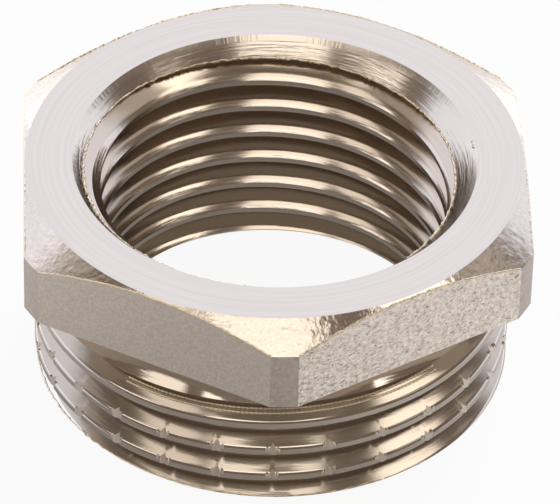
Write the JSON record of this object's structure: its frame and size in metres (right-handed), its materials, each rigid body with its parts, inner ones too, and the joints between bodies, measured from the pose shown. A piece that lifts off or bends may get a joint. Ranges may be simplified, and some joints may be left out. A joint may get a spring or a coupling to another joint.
{
  "type": "hex bushing",
  "caption": "Reducing pipe bushing with a chamfered hexagon head, a male pipe thread below it and a female pipe thread right through.",
  "frame": {"origin": "centre of the end face of the male thread, on the common axis of both threads", "axes": "+Z along the axis, from the male thread's end towards the hexagon; a corner of the hexagon points along -Y, two flats face +X and -X"},
  "size_m": [0.027, 0.0304, 0.0131],
  "materials": {
    "plated_brass": "bright nickel plate over brass"
  },
  "bodies": {
    "root": {"hex_bushing": "plated_brass"}
  },
  "joints": []
}
